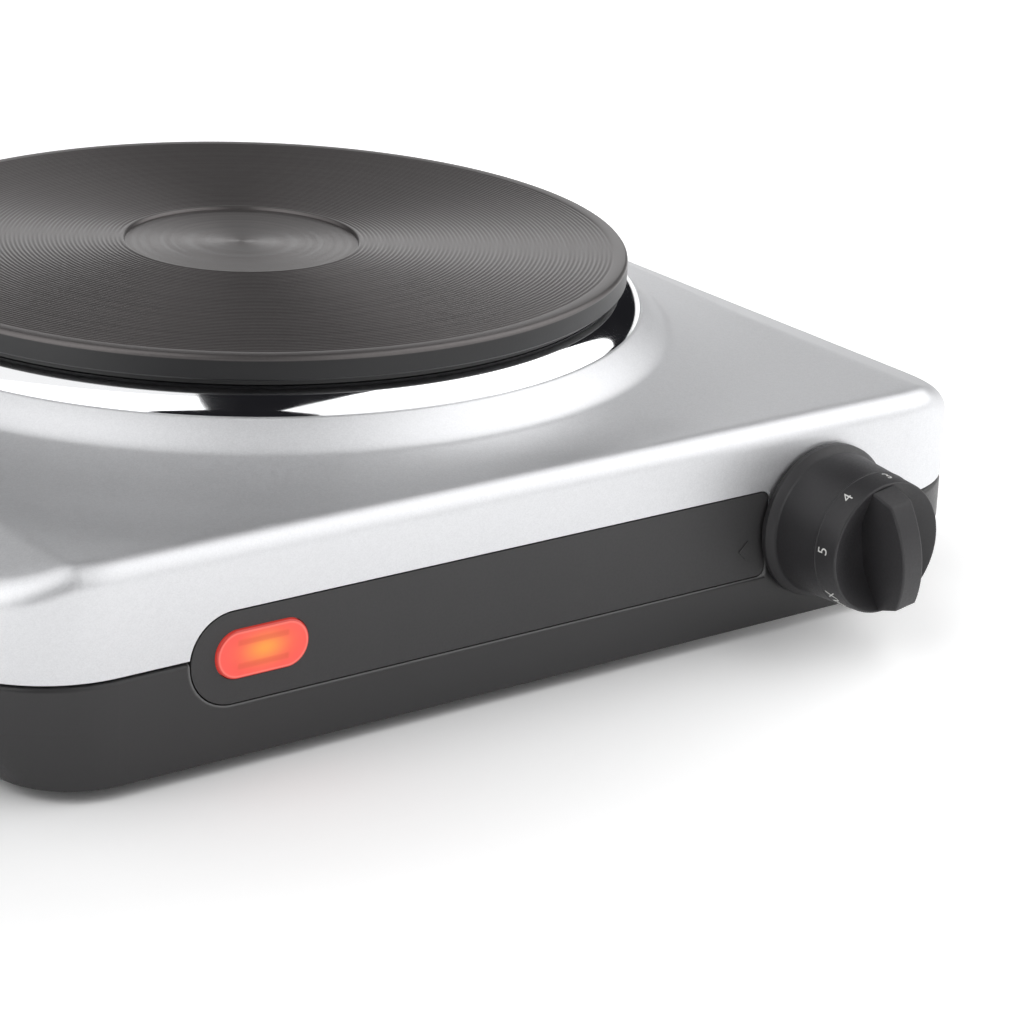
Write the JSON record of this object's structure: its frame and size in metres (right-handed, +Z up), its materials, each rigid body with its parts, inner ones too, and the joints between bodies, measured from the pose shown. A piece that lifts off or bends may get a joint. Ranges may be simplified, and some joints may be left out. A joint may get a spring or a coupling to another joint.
{
  "type": "hot plate burner",
  "caption": "Electric hot plate with a round cast iron cooking plate on a silver pressed cover, black base, pilot lamp and turning heat knob.",
  "frame": {"origin": "on the table, under the middle of the overall outline", "axes": "+Z up, -Y towards the knob and control strip, +X to the right of someone facing the knob"},
  "size_m": [0.27, 0.2808, 0.0731],
  "materials": {
    "base_plastic": "satin black moulded",
    "silver_paint": "silver metallic paint",
    "plate_iron": "turned and blackened",
    "ring_chrome": "bright chrome",
    "fascia_plastic": "matt black",
    "knob_plastic": "matt charcoal",
    "lens_red": "translucent red",
    "foot_rubber": "matt black",
    "gland_plastic": "black",
    "holder_plastic": "natural white",
    "lamp_glass": "clear bulb with orange glow",
    "coil_wire": "oxidised resistance wire",
    "filler_ceramic": "pressed powder",
    "white_ceramic": "white steatite",
    "terminal_plastic": "white",
    "wire_brown": "silicone sleeve",
    "wire_black": "silicone sleeve",
    "wire_blue": "silicone sleeve",
    "wire_green": "green sleeve with a yellow stripe",
    "brass_parts": "turned and stamped",
    "contact_silver": "silver contact",
    "spring_steel": "spring temper",
    "bright_steel": "turned",
    "aluminised_sheet": "aluminised sheet",
    "zinc_steel": "zinc plated"
  },
  "bodies": {
    "body": {"base_pan": "base_plastic", "bush_nut": "brass_parts", "centre_stud": "zinc_steel", "clamp_bridge": "zinc_steel", "contact_leaf": "brass_parts", "control_fascia": "fascia_plastic", "cord_gland": "gland_plastic", "cover_brackets": "zinc_steel", "cover_screws": "zinc_steel", "earth_screw": "zinc_steel", "earth_tag": "brass_parts", "earth_wire": "wire_green", "element_pins": "zinc_steel", "element_terminal_block": "white_ceramic", "fascia_screws": "zinc_steel", "fixed_contact": "contact_silver", "heat_shield": "aluminised_sheet", "heating_coil": "coil_wire", "hotplate": "plate_iron", "insulation_filler": "filler_ceramic", "lamp_holder": "holder_plastic", "lamp_lens": "lens_red", "lamp_live_lead": "wire_black", "lamp_neutral_lead": "wire_blue", "line_tab": "brass_parts", "live_wire": "wire_brown", "mains_terminal_block": "terminal_plastic", "neon_lamp": "lamp_glass", "neutral_wire": "wire_blue", "plate_back_cover": "zinc_steel", "rubber_feet": "foot_rubber", "stack_insulators": "white_ceramic", "stack_rivet": "zinc_steel", "stud_nut": "zinc_steel", "stud_spacer": "zinc_steel", "stud_washer": "zinc_steel", "switched_wire": "wire_black", "terminal_screws": "brass_parts", "thermostat_bracket": "zinc_steel", "thermostat_bush": "brass_parts", "thermostat_screws": "zinc_steel", "top_cover": "silver_paint", "trim_ring": "ring_chrome"},
    "knob": {"control_knob": "knob_plastic", "thermostat_shaft": "bright_steel", "shaft_circlip": "spring_steel", "knob_spring_clip": "spring_steel"},
    "pin": {"adjusting_pin": "white_ceramic"},
    "blade": {"setting_blade": "spring_steel", "moving_contact": "contact_silver"}
  },
  "joints": [
    {"name": "knob_turn", "type": "hinge", "parent": "body", "child": "knob", "pos_m": [0.0807, -0.1086, 0.02615], "axis": [0, 1, 0], "range_deg": [-245, 49]},
    {"name": "pin_travel", "type": "slide", "parent": "body", "child": "pin", "axis": [0, 1, 0], "range_m": [-0.00056, 0.00012]},
    {"name": "blade_flex", "type": "hinge", "parent": "body", "child": "blade", "pos_m": [0.0807, -0.086, 0.01565], "axis": [-1, 0, 0], "range_deg": [-3.1, 0.65]}
  ],
  "couplings": [
    {"joint": "pin_travel", "follows": "knob_turn", "m_per_rad": 0.00012732},
    {"joint": "blade_flex", "follows": "knob_turn", "ratio": 0.012126}
  ]
}
